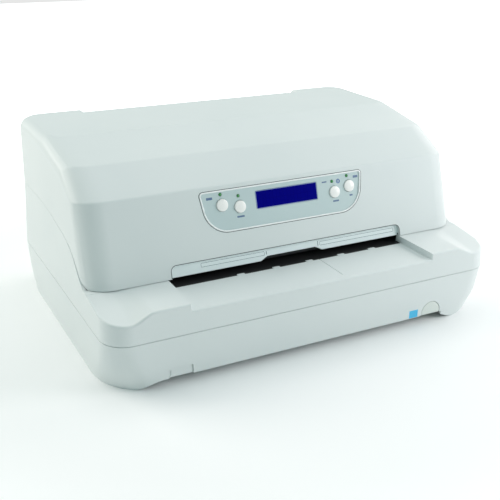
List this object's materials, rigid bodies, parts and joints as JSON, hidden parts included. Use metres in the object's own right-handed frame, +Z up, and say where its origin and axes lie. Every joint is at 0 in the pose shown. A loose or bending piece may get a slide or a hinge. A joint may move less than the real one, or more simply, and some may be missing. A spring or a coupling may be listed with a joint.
{
  "type": "dot matrix printer",
  "caption": "Flatbed dot matrix printer with a hinged top cover, operator panel, front paper table and slot, feed rollers, print carriage and ribbon.",
  "frame": {"origin": "centre of the footprint on the surface it stands on", "axes": "+X to the right seen from the front, +Y to the rear, +Z up"},
  "size_m": [0.384, 0.2801, 0.172],
  "materials": {
    "case_plastic": "fine moulded texture",
    "cover_plastic": "fine moulded texture",
    "panel_film": "printed film",
    "display": "tinted clear window",
    "black_plastic": "moulded",
    "circuit_board": "solder mask",
    "key_plastic": "smooth",
    "lamp_lens": "clear lens",
    "fascia_plastic": "smooth",
    "label": "film",
    "rubber": "matte",
    "belt_rubber": "matte",
    "zinc_sheet": "zinc plated",
    "dark_steel": "blackened",
    "steel": "ground",
    "gear_plastic": "acetal",
    "bronze": "sintered",
    "cast_metal": "die cast",
    "ribbon": "inked nylon"
  },
  "bodies": {
    "root": {"base_case": "case_plastic", "upper_case": "case_plastic", "power_switch": "black_plastic", "port_cover": "case_plastic", "front_label": "label", "feet": "rubber", "left_frame": "zinc_sheet", "right_frame": "zinc_sheet", "front_bar": "zinc_sheet", "rear_bar": "zinc_sheet", "platen": "dark_steel", "lower_guide": "zinc_sheet", "upper_guide": "zinc_sheet", "shaft_bushes": "bronze", "feed_motor": "dark_steel", "carriage_shaft": "steel", "carriage_rail": "steel", "carriage_belt": "belt_rubber", "carriage_motor": "dark_steel", "ribbon_cassette": "black_plastic", "ribbon_band": "ribbon", "scan_bar": "black_plastic", "main_board": "circuit_board", "power_supply": "zinc_sheet", "mains_inlet": "black_plastic", "data_ports": "steel", "hinge_pins": "steel", "frame_screws": "steel"},
    "cover": {"top_cover": "cover_plastic", "panel_overlay": "panel_film", "lcd_window": "display", "lcd_module": "black_plastic", "panel_board": "circuit_board", "status_lamps": "lamp_lens", "slot_fascia": "fascia_plastic"},
    "key_1": {"key_1": "key_plastic"},
    "key_2": {"key_2": "key_plastic"},
    "key_3": {"key_3": "key_plastic"},
    "key_4": {"key_4": "key_plastic"},
    "power_key": {"power_key": "case_plastic"},
    "front_feed": {"front_feed_shaft": "steel", "front_feed_tyres": "rubber", "front_feed_gear": "gear_plastic"},
    "rear_feed": {"rear_feed_shaft": "steel", "rear_feed_tyres": "rubber", "rear_feed_gear": "gear_plastic"},
    "front_idler": {"front_idler_gear": "gear_plastic"},
    "rear_idler": {"rear_idler_gear": "gear_plastic"},
    "feed_pinion": {"motor_pinion": "bronze"},
    "front_pressure": {"front_pressure_roller": "black_plastic"},
    "rear_pressure": {"rear_pressure_roller": "black_plastic"},
    "carriage": {"carriage": "black_plastic", "print_head": "cast_metal"},
    "drive_pulley": {"drive_pulley": "steel"},
    "return_pulley": {"return_pulley": "steel"},
    "ribbon_knob": {"ribbon_knob": "black_plastic"}
  },
  "joints": [
    {"name": "cover_hinge", "type": "hinge", "parent": "root", "child": "cover", "pos_m": [0, 0.13, 0.106], "axis": [-1, 0, 0], "range_deg": [0, 60]},
    {"name": "key_1_press", "type": "slide", "parent": "cover", "child": "key_1", "axis": [0, 0.9591, -0.2829], "range_m": [0, 0.0008], "stiffness_N_per_m": 800},
    {"name": "key_2_press", "type": "slide", "parent": "cover", "child": "key_2", "axis": [0, 0.9591, -0.2829], "range_m": [0, 0.0008], "stiffness_N_per_m": 800},
    {"name": "key_3_press", "type": "slide", "parent": "cover", "child": "key_3", "axis": [0, 0.9591, -0.2829], "range_m": [0, 0.0008], "stiffness_N_per_m": 800},
    {"name": "key_4_press", "type": "slide", "parent": "cover", "child": "key_4", "axis": [0, 0.9591, -0.2829], "range_m": [0, 0.0008], "stiffness_N_per_m": 800},
    {"name": "power_press", "type": "slide", "parent": "root", "child": "power_key", "axis": [0, 1, 0], "range_m": [0, 0.0025], "stiffness_N_per_m": 500},
    {"name": "front_feed_spin", "type": "hinge", "parent": "root", "child": "front_feed", "pos_m": [0.17, -0.05, 0.0538], "axis": [1, 0, 0], "continuous": true},
    {"name": "rear_feed_spin", "type": "hinge", "parent": "root", "child": "rear_feed", "pos_m": [0.17, 0.04, 0.0538], "axis": [1, 0, 0], "continuous": true},
    {"name": "front_idler_spin", "type": "hinge", "parent": "root", "child": "front_idler", "pos_m": [0.17, -0.02402, 0.0388], "axis": [1, 0, 0], "continuous": true},
    {"name": "rear_idler_spin", "type": "hinge", "parent": "root", "child": "rear_idler", "pos_m": [0.17, 0.01402, 0.0388], "axis": [1, 0, 0], "continuous": true},
    {"name": "feed_pinion_spin", "type": "hinge", "parent": "root", "child": "feed_pinion", "pos_m": [0.17, -0.005, 0.0299], "axis": [1, 0, 0], "continuous": true},
    {"name": "front_pressure_spin", "type": "hinge", "parent": "root", "child": "front_pressure", "pos_m": [0.17, -0.05, 0.0721], "axis": [1, 0, 0], "continuous": true},
    {"name": "rear_pressure_spin", "type": "hinge", "parent": "root", "child": "rear_pressure", "pos_m": [0.17, 0.04, 0.0721], "axis": [1, 0, 0], "continuous": true},
    {"name": "carriage_slide", "type": "slide", "parent": "root", "child": "carriage", "axis": [1, 0, 0], "range_m": [-0.119, 0.119]},
    {"name": "drive_pulley_spin", "type": "hinge", "parent": "root", "child": "drive_pulley", "pos_m": [-0.146, 0.034, 0.09], "axis": [0, 1, 0], "continuous": true},
    {"name": "return_pulley_spin", "type": "hinge", "parent": "root", "child": "return_pulley", "pos_m": [0.146, 0.034, 0.09], "axis": [0, 1, 0], "continuous": true},
    {"name": "ribbon_knob_spin", "type": "hinge", "parent": "root", "child": "ribbon_knob", "pos_m": [-0.1, 0.084, 0.118], "axis": [0, 0, 1], "continuous": true}
  ],
  "couplings": [
    {"joint": "rear_feed_spin", "follows": "front_feed_spin", "ratio": 1},
    {"joint": "front_idler_spin", "follows": "front_feed_spin", "ratio": -1},
    {"joint": "rear_idler_spin", "follows": "front_feed_spin", "ratio": -1},
    {"joint": "feed_pinion_spin", "follows": "front_feed_spin", "ratio": 2.5},
    {"joint": "front_pressure_spin", "follows": "front_feed_spin", "ratio": -1.25},
    {"joint": "rear_pressure_spin", "follows": "front_feed_spin", "ratio": -1.25},
    {"joint": "drive_pulley_spin", "follows": "carriage_slide", "rad_per_m": 150},
    {"joint": "return_pulley_spin", "follows": "carriage_slide", "rad_per_m": 150}
  ]
}
